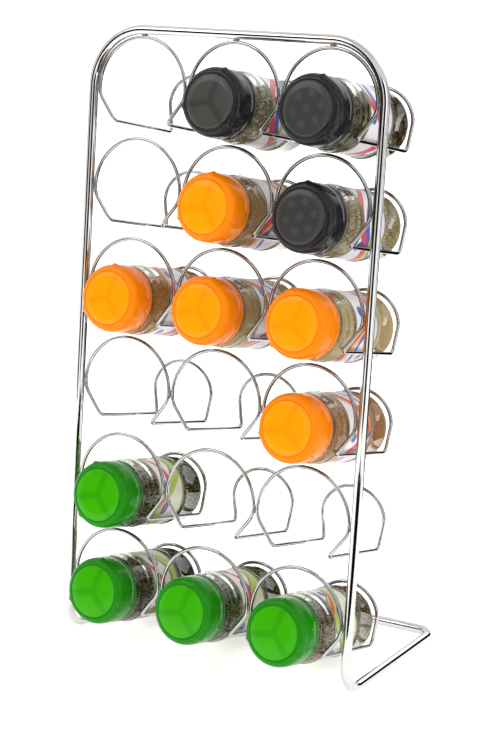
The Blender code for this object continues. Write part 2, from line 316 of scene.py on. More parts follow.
def weld_material():
    """Dull, slightly browned chrome over a spot weld."""
    paint = Paint("weld_metal").set(Metallic=1.0)
    grain = paint.noise(1500.0, 4.0, 0.7)
    paint.feed("Base Color", paint.ramp(grain, [(0.3, (0.10, 0.085, 0.07)), (0.75, (0.42, 0.38, 0.33))]))
    paint.feed("Roughness", paint.span(grain, 0.3, 0.7, 0.22, 0.5))
    paint.bump(grain, 0.0002, 0.6)
    return paint.material


def glass_material():
    """Slightly green clear glass with gentle moulding waves."""
    paint = Paint("jar_glass").set(Transmission_Weight=1.0, IOR=1.5, Specular_IOR_Level=0.15)
    waves = paint.noise(70.0, 2.0, 0.5)
    paint.feed("Base Color", paint.ramp(waves, [(0.3, (0.81, 0.82, 0.70)), (0.7, (0.88, 0.89, 0.80))]))
    paint.feed("Roughness", paint.span(waves, 0.3, 0.7, 0.0, 0.02))
    paint.bump(waves, 0.00035, 0.5)
    return paint.material


def hole_angle(step):
    """Return the angle of one of the sifter's outer holes."""
    return math.radians(360.0 / SIFTER_HOLES * step + SIFTER_HOLE_TURN)


def spoke_shadow(paint):
    """Return 1 where one of the sifter's spokes lies under the disc, fading at its edges."""
    across, up, _ = paint.axes()
    shadow = 0.0
    for spoke in range(SIFTER_SPOKES):
        angle = SPOKE_SHADOW_TURN + math.radians(360.0 / SIFTER_SPOKES * spoke)
        along = paint.math("MULTIPLY", across, math.cos(angle))
        along = paint.math("MULTIPLY_ADD", up, math.sin(angle), along)
        beside = paint.math("MULTIPLY", across, -math.sin(angle))
        beside = paint.math("ABSOLUTE", paint.math("MULTIPLY_ADD", up, math.cos(angle), beside))
        band = paint.span(beside, SPOKE_SHADOW_CORE, SPOKE_SHADOW_EDGE, 1.0, 0.0)
        ahead = paint.math("GREATER_THAN", along, 0.0)
        shadow = paint.math("MAXIMUM", shadow, paint.math("MULTIPLY", band, ahead))
    return shadow


def hole_shadow(paint):
    """Return 0 where one of the sifter's round holes lies under the disc, and 1 elsewhere."""
    across, up, _ = paint.axes()
    shadow = 1.0
    for step in range(SIFTER_HOLES + 1):
        angle = hole_angle(step)
        reach = SIFTER_HOLE_RING if step < SIFTER_HOLES else 0.0
        away = [paint.math("SUBTRACT", across, reach * math.cos(angle))]
        away.append(paint.math("SUBTRACT", up, reach * math.sin(angle)))
        squares = [paint.math("MULTIPLY", one, one) for one in away]
        distance = paint.math("SQRT", paint.math("ADD", *squares))
        inner = SIFTER_HOLE_RADIUS - HOLE_SHADOW_BLUR
        outer = SIFTER_HOLE_RADIUS + HOLE_SHADOW_BLUR
        shadow = paint.math("MINIMUM", shadow, paint.span(distance, inner, outer))
    return shadow


def cap_material(name, side, disc, transmission, kind, depth):
    """Tinted glossy plastic, painted lit and shaded: the front disc has a lighter tone as painted light, the
    sides a darker tone as painted shade, and the disc carries a faint painted shadow of the sifter.
    """
    paint = Paint(name).set(Transmission_Weight=transmission, IOR=1.45, Specular_IOR_Level=0.10)
    height = paint.axes()[2]
    # The disc's lighter tone is painted light and the sides' darker tone is painted shade
    on_disc = paint.span(height, CAP_DISC_START, CAP_DISC_START + CAP_DISC_EDGE)
    shadow = spoke_shadow(paint) if kind == "spokes" else hole_shadow(paint)
    # Painted shadow of the sifter: the disc's tone darkened by depth
    sifter_shadow_tone = tuple(channel * depth for channel in disc)
    colour = paint.mix(on_disc, side, paint.mix(shadow, disc, sifter_shadow_tone))
    # Random patches darker towards a deep copy of the side tone, painted as uneven shade over the cap
    patchy_shade = paint.span(paint.noise(40.0, 2.0), 0.3, 0.7, 0.0, 0.18)
    darker = tuple(channel * 0.55 for channel in side)
    paint.feed("Base Color", paint.mix(patchy_shade, colour, darker))
    paint.feed("Roughness", paint.span(paint.noise(420.0), 0.3, 0.7, 0.13, 0.19))
    paint.bump(paint.noise(300.0, 2.0), 0.00002, 0.3)
    return paint.material


def sifter_material(name, colour):
    """Thin moulded plastic of the sifter plate."""
    paint = Paint(name).set(Transmission_Weight=0.15, IOR=1.48)
    shade = paint.noise(200.0, 2.0)
    darker = tuple(channel * 0.85 for channel in colour)
    paint.feed("Base Color", paint.ramp(shade, [(0.3, darker), (0.7, colour)]))
    paint.feed("Roughness", paint.span(shade, 0.3, 0.7, 0.35, 0.5))
    paint.bump(shade, 0.00004, 0.4)
    return paint.material


def spice_material(name, tones, scale, stretch, depth, grain_shade):
    """Loose spice: cells of three tones, each cell its own tone, with painted shade in the spaces between
    cells and in larger random patches.
    """
    paint = Paint(name).set(Specular_IOR_Level=0.1)
    shade = paint.cells(scale, "Color", stretch)
    split = paint.nodes.new("ShaderNodeSeparateColor")
    paint.links.new(shade, split.inputs["Color"])
    grains = paint.ramp(split.outputs["Red"], [(0.05, tones[0]), (0.5, tones[1]), (0.95, tones[2])])
    # Painted shade among the grains: darker in larger random patches and where the cells meet, towards a
    # near-black copy of the darkest tone
    clumps = paint.span(paint.noise(scale * 0.12, 3.0), 0.35, 0.7, 1.0 - 0.6 * grain_shade, 1.0)
    edge = paint.span(paint.cells(scale, "Distance", stretch), 0.25, 0.75, 1.0, 1.0 - grain_shade)
    dark = paint.mix(paint.math("MULTIPLY", clumps, edge), tuple(t * 0.25 for t in tones[0]), grains)
    paint.feed("Base Color", dark)
    paint.feed("Roughness", paint.span(split.outputs["Green"], 0.0, 1.0, 0.7, 0.95))
    paint.bump(edge, depth, 0.9)
    return paint.material


def label_material(name, art):
    """Printed paper label with generic swooshes and spots, no lettering."""
    paint = Paint(name).set(Coat_Weight=0.35, Coat_Roughness=0.2)
    around, along, _ = paint.axes("UV")
    colour = paint.ramp(along, [(0.0, art["ground"]), (1.0, art["ground_far"])])
    for tint, middle, swing, turns, phase, width in art["swooshes"]:
        wave = paint.math("SINE", paint.math("MULTIPLY_ADD", around, turns * 2.0 * math.pi, phase))
        line = paint.math("MULTIPLY_ADD", wave, swing, middle)
        away = paint.math("ABSOLUTE", paint.math("SUBTRACT", along, line))
        taper = paint.math("MULTIPLY", paint.span(paint.noise(35.0, 1.0), 0.3, 0.7, 0.7, 1.2), width)
        mask = paint.math("LESS_THAN", away, taper)
        colour = paint.mix(mask, colour, tint)
    for tint, at_around, at_along, size_around, size_along in art["spots"]:
        repeat = paint.math("FRACT", paint.math("MULTIPLY", around, art["repeats"]))
        across = paint.math("DIVIDE", paint.math("SUBTRACT", repeat, at_around), size_around)
        up = paint.math("DIVIDE", paint.math("SUBTRACT", along, at_along), size_along)
        squared = paint.math("ADD", paint.math("MULTIPLY", across, across), paint.math("MULTIPLY", up, up))
        colour = paint.mix(paint.math("LESS_THAN", squared, 1.0), colour, tint)
    from_middle = paint.math("ABSOLUTE", paint.math("SUBTRACT", along, 0.5))
    colour = paint.mix(paint.math("GREATER_THAN", from_middle, 0.5 - art["border"]), colour, art["edge"])
    fibres = paint.noise(2500.0, 3.0, 0.7)
    colour = paint.mix(paint.span(fibres, 0.3, 0.7, 0.0, 0.08), colour, (0.45, 0.42, 0.46))
    paint.feed("Base Color", colour)
    paint.feed("Roughness", paint.span(fibres, 0.3, 0.7, 0.42, 0.6))
    paint.bump(fibres, 0.00003, 0.4)
    return paint.material


# ---------------------------------------------------------------- mesh helpers


def new_piece(name, shape, material, sharp=math.radians(40.0)):
    """Turn a bmesh into a linked object, smooth but for edges sharper than an angle."""
    bmesh.ops.recalc_face_normals(shape, faces=shape.faces)
    for face in shape.faces:
        face.smooth = True
    for edge in shape.edges:
        if len(edge.link_faces) == 2 and edge.calc_face_angle(0.0) > sharp:
            edge.smooth = False
    mesh = bpy.data.meshes.new(name)
    shape.to_mesh(mesh)
    shape.free()
    mesh.materials.append(material)
    made = bpy.data.objects.new(name, mesh)
    bpy.context.scene.collection.objects.link(made)
    return made


def half_circle(radius, steps):
    """Return the (across, up) points of an upper half circle, from right to left."""
    angles = [math.pi * step / steps for step in range(steps + 1)]
    return [(radius * math.cos(angle), radius * math.sin(angle)) for angle in angles]


def corner_arc(before, corner, after, radius, steps):
    """Round one corner between two straight stretches."""
    to_before = (before - corner).normalized()
    to_after = (after - corner).normalized()
    half_angle = to_before.angle(to_after) / 2.0
    reach = radius / math.tan(half_angle)
    centre = corner + (to_before + to_after).normalized() * radius / math.sin(half_angle)
    first = corner + to_before * reach - centre
    last = corner + to_after * reach - centre
    turn = first.rotation_difference(last)
    still = Quaternion()
    return [centre + still.slerp(turn, step / steps) @ first for step in range(steps + 1)]


def rounded(corners, steps):
    """Round the (point, radius) corners of a closed path; radius 0 stays as it is."""
    path = []
    for index, (corner, radius) in enumerate(corners):
        if radius == 0.0:
            path.append(corner)
            continue
        before = corners[index - 1][0]
        after = corners[(index + 1) % len(corners)][0]
        path.extend(corner_arc(before, corner, after, radius, steps))
    return path


def loop_tube(name, path, radius_at, sides, normal, material):
    """Sweep a round section along a closed path; radius_at gives each point's radius."""
    shape = bmesh.new()
    count = len(path)
    tangents = []
    for index, point in enumerate(path):
        into = (point - path[index - 1]).normalized()
        out = (path[(index + 1) % count] - point).normalized()
        tangents.append((into + out).normalized())
    rings = []
    for index, point in enumerate(path):
        if index:
            normal = tangents[index - 1].rotation_difference(tangents[index]) @ normal
        side = tangents[index].cross(normal).normalized()
        ring = []
        for step in range(sides):
            angle = 2.0 * math.pi * (step + 0.5) / sides
            offset = normal * math.cos(angle) + side * math.sin(angle)
            ring.append(shape.verts.new(point + offset * radius_at(index)))
        rings.append(ring)
    for index, ring in enumerate(rings):
        following = rings[(index + 1) % count]
        for step in range(sides):
            after = (step + 1) % sides
            shape.faces.new((ring[step], ring[after], following[after], following[step]))
    return new_piece(name, shape, material)


def lathe(outline, sides, bulge=None):
    """Turn a (radius, height) outline about Z into a bmesh; bulge(radius, height, angle)
    returns a changed radius."""
    shape = bmesh.new()
    rings = []
    for radius, height in outline:
        if radius == 0.0:
            rings.append([shape.verts.new((0.0, 0.0, height))])
            continue
        ring = []
        for step in range(sides):
            angle = 2.0 * math.pi * step / sides
            there = bulge(radius, height, angle) if bulge else radius
            ring.append(shape.verts.new((there * math.cos(angle), there * math.sin(angle), height)))
        rings.append(ring)
    for lower, upper in zip(rings, rings[1:]):
        for step in range(sides):
            after = (step + 1) % sides
            corners = [lower[step % len(lower)], lower[after % len(lower)]]
            corners += [upper[after % len(upper)], upper[step % len(upper)]]
            shape.faces.new(list(dict.fromkeys(corners)))
    return shape


def millimetres(points):
    """Scale (radius, height) points from millimetres to metres."""
    return [(radius * MM, height * MM) for radius, height in points]


# ---------------------------------------------------------------- the rack


def in_frame(across, up):
    """Return the offset at a distance across and up the leaning frame plane."""
    return ACROSS * across + FRAME_UP * up


def middle(node):
    """Return the middle of a CAD node's box."""
    low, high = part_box(node)
    return (Vector(low) + Vector(high)) / 2.0


def ring_centre(row, column):
    """Return a holder's ring centre: its top is the ring's top, which leans back."""
    low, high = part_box(f"holder_r{row}c{column}")
    across = (low[0] + high[0]) / 2.0
    foot_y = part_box("frame")[1][1] - ROD_CENTRE_INSET - FOOT_LENGTH
    top = (high[2] - ROD_CENTRE_INSET - HOLDER_TOP_REACH) / math.cos(LEAN)
    return Vector((across, foot_y, ROD_CENTRE_INSET)) + FRAME_UP * top


def base_corner():
    """Return the middle of the line where the frame's feet and uprights meet."""
    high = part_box("frame")[1]
    return Vector((0.0, high[1] - ROD_CENTRE_INSET - FOOT_LENGTH, ROD_CENTRE_INSET))


def build_frame(material):
    """Build the bent rod as one smooth closed tube."""
    low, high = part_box("frame")
    half_width = (high[0] - low[0]) / 2.0 - ROD_CENTRE_INSET
    top = (high[2] - 2.0 * ROD_CENTRE_INSET) / math.cos(LEAN)
    corner = base_corner()
    foot = Vector((0.0, FOOT_LENGTH, 0.0))
    left = corner - ACROSS * half_width
    right = corner + ACROSS * half_width
    corners = [
        (left + foot, REAR_BEND_RADIUS),
        (right + foot, REAR_BEND_RADIUS),
        (right, BASE_BEND_RADIUS),
        (corner + in_frame(half_width, top), TOP_BEND_RADIUS),
        (corner + in_frame(-half_width, top), TOP_BEND_RADIUS),
        (left, BASE_BEND_RADIUS),
    ]
    path = rounded(corners, ROD_BEND_STEPS)
    rod = loop_tube("rod_frame", path, lambda index: ROD_RADIUS, ROD_SIDES, WORLD_UP, material)
    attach(rod, "rack")
    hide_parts("frame")


def ring_corners():
    """Return the front ring's (across, up, bend radius) from its right foot over the top."""
    upper_half = half_circle(RING_RADIUS, RING_STEPS)
    ease_across = RING_RADIUS * math.cos(RING_EASE_ANGLE)
    ease_up = RING_RADIUS * math.sin(RING_EASE_ANGLE)
    right = [(RAIL_HALF_SPACING, -RAIL_BELOW_CENTRE, WIRE_BEND_RADIUS)]
    right.append((ease_across, ease_up, RING_EASE_RADIUS))
    left = [(-across, up, bend) for across, up, bend in reversed(right)]
    return right + [(across, up, 0.0) for across, up in upper_half] + left


def arch_outline():
    """Return the rear arch's (across, up) points above the rails, left to right."""
    crown = ARCH_HEIGHT - ARCH_LEG_HEIGHT
    points = []
    for step in range(ARCH_STEPS + 1):
        angle = math.pi * (1.0 - step / ARCH_STEPS)
        points.append((ARCH_HALF_WIDTH * math.cos(angle), ARCH_LEG_HEIGHT + crown * math.sin(angle)))
    return points


def build_holder(row, column, material):
    """Build one closed wire loop with the small butt weld on its left rail."""
    centre = ring_centre(row, column)
    rail_end = centre + in_frame(0.0, -RAIL_BELOW_CENTRE) + RAIL_BACK * RAIL_LENGTH
    left_start = centre + in_frame(-RAIL_HALF_SPACING, -RAIL_BELOW_CENTRE)
    nick = left_start + RAIL_BACK * RAIL_LENGTH * BUTT_WELD_PLACE
    corners = [(centre + in_frame(*point), bend) for *point, bend in ring_corners()]
    for shift in BUTT_WELD_SHIFTS:
        corners.append((nick + RAIL_BACK * shift * MM, 0.0))
    corners.append((rail_end - ACROSS * RAIL_HALF_SPACING, WIRE_BEND_RADIUS))
    corners += [(rail_end + in_frame(*point), 0.0) for point in arch_outline()]
    corners.append((rail_end + ACROSS * RAIL_HALF_SPACING, WIRE_BEND_RADIUS))
    path = rounded(corners, WIRE_BEND_STEPS)

    def radius_at(index):
        at_weld = (path[index] - nick).length < BUTT_WELD_REACH
        return WIRE_RADIUS * (BUTT_WELD_SWELL if at_weld else 1.0)

    name = f"wire_holder_r{row}c{column}"
    holder = loop_tube(name, path, radius_at, WIRE_SIDES, ACROSS, material)
    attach(holder, "rack")
    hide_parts(f"holder_r{row}c{column}")


def weld_spot(name, point, along, material):
    """Build one small uneven weld nugget, long along the touching wires."""
    outline = []
    for step in range(WELD_STEPS + 1):
        place = step / WELD_STEPS
        is_end = step in (0, WELD_STEPS)
        radius = 0.0 if is_end else WELD_RADIUS * math.sin(math.pi * place) ** WELD_FULLNESS
        outline.append((radius, (place - 0.5) * WELD_LENGTH))

    def bulge(radius, height, angle):
        grain = noise.noise(Vector((angle * 2.0, height / MM, point.z / MM)))
        return radius * (1.0 + WELD_GRAIN * grain)

    spot = new_piece(name, lathe(outline, WELD_SIDES, bulge), material)
    turn = WORLD_UP.rotation_difference(along)
    spot.matrix_world = Matrix.Translation(point) @ turn.to_matrix().to_4x4()
    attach(spot, "rack")


def build_welds(material):
    """Put a weld wherever two rings meet, and where rings meet the uprights and top rail."""
    half_pitch = (middle("holder_r1c2").x - middle("holder_r1c1").x) / 2.0
    for row in range(1, ROWS + 1):
        for column in range(1, COLUMNS + 1):
            centre = ring_centre(row, column)
            if column == 1:
                weld_spot(f"weld_left_r{row}", centre - ACROSS * half_pitch, FRAME_UP, material)
            weld_spot(f"weld_r{row}c{column}", centre + ACROSS * half_pitch, FRAME_UP, material)
            if row == 1:
                weld_spot(f"weld_top_c{column}", centre + FRAME_UP * half_pitch, ACROSS, material)


# ---------------------------------------------------------------- the jars

# Profiles as (radius, height) in millimetres, up from the jar's base or the cap's rear edge
GLASS_OUTER = [
    (0.0, 1.0), (8.0, 0.9), (11.6, 0.5), (12.8, 0.0), (14.2, 0.0),
    (16.6, 0.45), (18.6, 1.6), (20.0, 3.3), (20.9, 5.6), (21.2, 8.2),
    (21.2, 21.6), (21.5, 22.3), (21.6, 23.0), (21.5, 23.8), (20.95, 24.5),
    (20.95, 54.3), (21.45, 54.9), (21.6, 55.8), (21.6, 57.6), (21.4, 58.6),
    (21.0, 59.4), (21.0, 61.6), (20.9, 63.4), (20.4, 65.2), (19.6, 66.4),
    (19.3, 67.0), (19.5, 67.5), (20.2, 67.9), (20.5, 68.8), (20.5, 70.2),
    (20.1, 71.0), (19.2, 71.3), (18.8, 71.8), (18.8, 84.2), (18.4, 85.2), (17.6, 85.9),
]
GLASS_INNER = [
    (17.0, 86.0), (16.7, 85.5), (16.7, 69.8), (17.1, 67.9), (18.0, 65.4),
    (18.8, 62.8), (19.2, 59.6), (19.2, 9.0), (18.8, 6.6), (17.6, 4.6),
    (15.6, 3.3), (12.0, 3.0), (0.0, 3.2),
]
CAP_OUTER = [
    (19.25, 0.0), (20.35, 0.0), (20.6, 0.3), (20.6, 1.5), (20.35, 1.8), (20.35, 2.3),
    (20.55, 2.6), (20.5, 7.0), (20.4, 11.0), (20.2, 13.2), (19.6, 14.9), (18.8, 16.0),
    (17.8, 16.75), (16.9, 17.0), (16.35, 17.0), (16.1, 16.8), (15.85, 17.0),
    (15.55, 17.5), (15.0, 17.78), (11.0, 17.92), (6.0, 18.0), (0.0, 18.0),
]
CAP_INNER = [
    (0.0, 16.7), (6.0, 16.7), (14.6, 16.5), (16.6, 15.6), (18.2, 14.3),
    (18.95, 12.5), (19.1, 8.0), (19.15, 1.0),
]

# Label inks and papers
LIME = (0.34, 0.44, 0.03)
PURPLE = (0.10, 0.05, 0.20)
BLUE = (0.03, 0.07, 0.36)
RED = (0.55, 0.015, 0.02)
AMBER = (0.75, 0.33, 0.02)
LILAC = (0.58, 0.54, 0.62)
PAPER = (0.70, 0.68, 0.68)
OLIVE = (0.17, 0.19, 0.06)

# A swoosh is (ink, middle, swing, waves round the jar, phase in radians, half width). A spot is
# (ink, place round, place along, half width round, half width along). What lies along the jar is
# a share of the label's height, and what lies round it, of one repeat of the spots
ART = {
    "orange": {
        "ground": LILAC, "ground_far": PAPER, "repeats": 3.0, "edge": OLIVE, "border": 0.05,
        "swooshes": [
            (AMBER, 0.58, 0.42, 2.0, 0.75, 0.22), (RED, 0.62, 0.42, 2.0, 0.6, 0.13),
            (BLUE, 0.30, 0.36, 2.0, 0.3, 0.06),
        ],
        "spots": [(BLUE, 0.30, 0.72, 0.08, 0.10), (PURPLE, 0.66, 0.24, 0.12, 0.09)],
    },
    "green": {
        "ground": (0.56, 0.58, 0.40), "ground_far": PAPER, "repeats": 3.0, "edge": OLIVE, "border": 0.07,
        "swooshes": [
            (LIME, 0.46, 0.40, 2.0, 0.4, 0.19), (OLIVE, 0.66, 0.40, 2.0, 0.4, 0.05),
            (RED, 0.84, 0.28, 2.0, 1.4, 0.08),
        ],
        "spots": [(PURPLE, 0.30, 0.66, 0.10, 0.12), (BLUE, 0.68, 0.76, 0.07, 0.10)],
    },
    "grey": {
        "ground": LILAC, "ground_far": PAPER, "repeats": 3.0, "edge": OLIVE, "border": 0.05,
        "swooshes": [
            (RED, 0.66, 0.40, 2.0, 0.2, 0.14), (BLUE, 0.38, 0.40, 2.0, 0.5, 0.09),
            (LIME, 0.20, 0.28, 2.0, 1.1, 0.07),
        ],
        "spots": [(BLUE, 0.40, 0.80, 0.09, 0.10), (PURPLE, 0.72, 0.28, 0.12, 0.08)],
    },
}

# How each kind of spice looks: "start" is how many millimetres from the jar's base its sloping
# top leaves the upper wall
# The last entry of each look sets how dark the painted shade among the grains is
HERB = {"scale": 520.0, "stretch": (1.0, 1.9, 0.7), "depth": 0.0007, "start": 30.0, "lumps": 1.0, "grain_shade": 0.6}
POWDER = {"scale": 1900.0, "stretch": None, "depth": 0.00018, "start": 46.0, "lumps": 0.35, "grain_shade": 0.1}
CORNS = {"scale": 330.0, "stretch": None, "depth": 0.0009, "start": 40.0, "lumps": 0.8, "grain_shade": 0.6}
FLAKES = {"scale": 800.0, "stretch": (1.0, 1.4, 0.8), "depth": 0.0004, "start": 42.0, "lumps": 0.6,
          "grain_shade": 0.25}

# Each full holder's cap colour, sifter kind, spice look and spice tones from dark to light
JARS = {
    (1, 2): ("grey", "spokes", FLAKES, [(0.16, 0.13, 0.07), (0.42, 0.36, 0.22), (0.70, 0.64, 0.46)]),
    (1, 3): ("grey", "holes", CORNS, [(0.06, 0.042, 0.018), (0.22, 0.17, 0.08), (0.44, 0.38, 0.21)]),
    (2, 2): ("orange", "spokes", POWDER, [(0.52, 0.28, 0.11), (0.66, 0.40, 0.18), (0.76, 0.52, 0.27)]),
    (2, 3): ("grey", "holes", FLAKES, [(0.34, 0.25, 0.12), (0.60, 0.48, 0.28), (0.82, 0.72, 0.50)]),
    (3, 1): ("orange", "spokes", POWDER, [(0.52, 0.19, 0.03), (0.70, 0.31, 0.06), (0.80, 0.45, 0.13)]),
    (3, 2): ("orange", "spokes", POWDER, [(0.66, 0.46, 0.20), (0.78, 0.58, 0.30), (0.86, 0.70, 0.42)]),
    (3, 3): ("orange", "spokes", POWDER, [(0.74, 0.52, 0.26), (0.86, 0.66, 0.38), (0.93, 0.78, 0.52)]),
    (4, 3): ("orange", "spokes", POWDER, [(0.48, 0.20, 0.09), (0.66, 0.33, 0.17), (0.78, 0.48, 0.28)]),
    (5, 1): ("green", "spokes", HERB, [(0.06, 0.06, 0.02), (0.18, 0.19, 0.07), (0.38, 0.37, 0.18)]),
    (6, 1): ("green", "spokes", HERB, [(0.05, 0.035, 0.015), (0.14, 0.11, 0.05), (0.30, 0.26, 0.13)]),
    (6, 2): ("green", "spokes", HERB, [(0.05, 0.07, 0.018), (0.16, 0.22, 0.06), (0.34, 0.40, 0.16)]),
    (6, 3): ("green", "spokes", HERB, [(0.18, 0.11, 0.05), (0.44, 0.31, 0.17), (0.72, 0.58, 0.37)]),
}


def jar_place(tag):
    """Return the jar's own space: X across, Y up, Z along the axis from base to cap."""
    out = -RAIL_BACK
    up = out.cross(ACROSS)
    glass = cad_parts[f"jar_glass_{tag}"].data.vertices
    along = [vertex.co.dot(out) for vertex in glass]
    above = [vertex.co.dot(up) for vertex in glass]
    across = [vertex.co.x for vertex in glass]
    height = (min(above) + max(above)) / 2.0
    origin = out * min(along) + up * height + ACROSS * (min(across) + max(across)) / 2.0
    turn = Matrix((ACROSS, up, out)).transposed().to_4x4()
    return Matrix.Translation(origin) @ turn


def settle(piece, place, body, node):
    """Put a jar piece in place and let it ride on its body."""
    piece.matrix_world = place
    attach(piece, body)
    if node:
        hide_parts(node)


def build_glass(tag, place, material):
    """Build the thick glass with its ridges, shoulder, neck and rounded heel."""
    shape = lathe(millimetres(GLASS_OUTER + GLASS_INNER), LATHE_SIDES)
    piece = new_piece(f"glass_{tag}", shape, material, sharp=math.radians(75.0))
    settle(piece, place, f"jar_{tag}", f"jar_glass_{tag}")


def build_fill(tag, place, look, material, seed):
    """Build the settled spice: the jar's inside, cut off by a rough sloping top."""
    floor_height = FILL_FLOOR - FILL_INTO_GLASS
    inside = [point for point in reversed(GLASS_INNER) if FILL_FLOOR <= point[1] < FILL_TOP]
    inside = [(radius + FILL_INTO_GLASS, height) for radius, height in inside]
    inside[:len(FILL_BASE_RADII)] = [(radius, floor_height) for radius in FILL_BASE_RADII]
    outline = [(0.0, floor_height)]
    for first, second in zip(inside, inside[1:]):
        steps = max(1, round(abs(second[1] - first[1]) / FILL_STEP))
        for step in range(steps):
            share = step / steps
            outline.append(tuple(a + (b - a) * share for a, b in zip(first, second)))
    end_height = inside[-1][1]
    outline.append(inside[-1])
    outline += [(radius, end_height) for radius in FILL_TOP_RADII]
    outline.append((0.0, end_height))
    shape = lathe(millimetres(outline), FILL_SIDES)
    # The top surface is nearly level in the room, and drops from the upper wall towards the cap
    level = Vector((0.0, math.cos(FILL_SLOPE), math.sin(FILL_SLOPE)))
    through = Vector((0.0, FILL_WALL * MM, look["start"] * MM))
    for vertex in shape.verts:
        grain = noise.noise(vertex.co * FILL_LUMP_SCALE + Vector((seed, 0.0, 0.0)))
        fine = noise.noise(vertex.co * FILL_FINE_SCALE + Vector((0.0, seed, 0.0)))
        rough = (grain * FILL_LUMP_DEPTH + fine * FILL_FINE_DEPTH) * look["lumps"] * MM
        over = (vertex.co - through).dot(level) + rough
        if over > 0.0:
            vertex.co -= level * over
        else:
            radial = Vector((vertex.co.x, vertex.co.y, 0.0))
            if radial.length > 1.0 * MM:
                vertex.co -= radial.normalized() * abs(fine) * FILL_DENT_DEPTH * look["lumps"] * MM
    piece = new_piece(f"spice_{tag}", shape, material, sharp=math.radians(60.0))
    settle(piece, place, f"jar_{tag}", f"jar_contents_{tag}")


def build_label(tag, place, material, seed):
    """Build the thin paper label wrapped round the glass, its seam underneath."""
    shape = bmesh.new()
    layer = shape.loops.layers.uv.new("UVMap")
    start = -math.pi / 2.0 + LABEL_GAP / 2.0
    sweep = 2.0 * math.pi - LABEL_GAP
    shift = seed * LABEL_SHIFT
    grid = {}
    for side, radius in enumerate((LABEL_INNER, LABEL_OUTER)):
        for step in range(LABEL_STEPS_AROUND + 1):
            angle = start + sweep * step / LABEL_STEPS_AROUND
            for row in range(LABEL_STEPS_ALONG + 1):
                height = LABEL_LOW + (LABEL_HIGH - LABEL_LOW) * row / LABEL_STEPS_ALONG
                point = (radius * math.cos(angle), radius * math.sin(angle), height)
                grid[side, step, row] = shape.verts.new(point)

    def add(*keys):
        face = shape.faces.new([grid[key] for key in keys])
        for loop, (_, step, row) in zip(face.loops, keys):
            loop[layer].uv = (step / LABEL_STEPS_AROUND + shift, row / LABEL_STEPS_ALONG)

    for step in range(LABEL_STEPS_AROUND):
        for row in range(LABEL_STEPS_ALONG):
            for side in (0, 1):
                near = [(side, step, row), (side, step + 1, row)]
                add(*near, (side, step + 1, row + 1), (side, step, row + 1))
        for row in (0, LABEL_STEPS_ALONG):
            add((0, step, row), (0, step + 1, row), (1, step + 1, row), (1, step, row))
    for step in (0, LABEL_STEPS_AROUND):
        for row in range(LABEL_STEPS_ALONG):
            add((0, step, row), (0, step, row + 1), (1, step, row + 1), (1, step, row))
    piece = new_piece(f"label_{tag}", shape, material, sharp=math.radians(60.0))
    settle(piece, place, f"jar_{tag}", None)


def build_cap(tag, place, material, turn):
    """Build the stepped cap with three small lugs on its shoulder."""
    facet = 2.0 * math.pi / LATHE_SIDES
    lugs = [round((turn + more) / facet) * facet for more in LUG_SPREAD]

    def bulge(radius, height, angle):
        if radius < LUG_LEAST_RADIUS or not LUG_REAR < height < LUG_FRONT:
            return radius
        extra = 0.0
        for lug in lugs:
            away = abs((angle - lug + math.pi) % (2.0 * math.pi) - math.pi)
            extra += max(0.0, 1.0 - away / LUG_HALF_ANGLE) * LUG_HEIGHT
        return radius + extra

    shape = lathe(millimetres(CAP_INNER + CAP_OUTER), LATHE_SIDES, bulge)
    piece = new_piece(f"cap_{tag}", shape, material, sharp=math.radians(50.0))
    lift = Matrix.Translation((0.0, 0.0, CAP_REAR))
    settle(piece, place @ lift, f"cap_{tag}", f"jar_cap_{tag}")


def spoke_plate():
    """Return a sifter plate with three wide sector openings, as a bmesh sheet."""
    shape = bmesh.new()
    sector_width = 360.0 / SIFTER_SPOKES
    rings = []
    for radius in SPOKE_PLATE_RADII:
        ring = []
        margin = math.asin(SPOKE_HALF_WIDTH / radius)
        width = math.radians(sector_width) - 2.0 * margin
        for sector in range(SIFTER_SPOKES):
            start = math.radians(SPOKE_TURN + sector_width * sector)
            for step in range(SECTOR_STEPS + 1):
                angle = start + margin + width * step / SECTOR_STEPS
                across = radius * MM * math.cos(angle)
                ring.append(shape.verts.new((across, radius * MM * math.sin(angle), 0.0)))
        rings.append(ring)
    count = len(rings[0])
    shape.faces.new(rings[0])
    for band, (near, far) in enumerate(zip(rings, rings[1:])):
        for step in range(count):
            after = (step + 1) % count
            is_spoke = step % (SECTOR_STEPS + 1) == SECTOR_STEPS
            if band < SPOKE_OPEN_BANDS and not is_spoke:
                continue
            shape.faces.new((near[step], near[after], far[after], far[step]))
    return shape


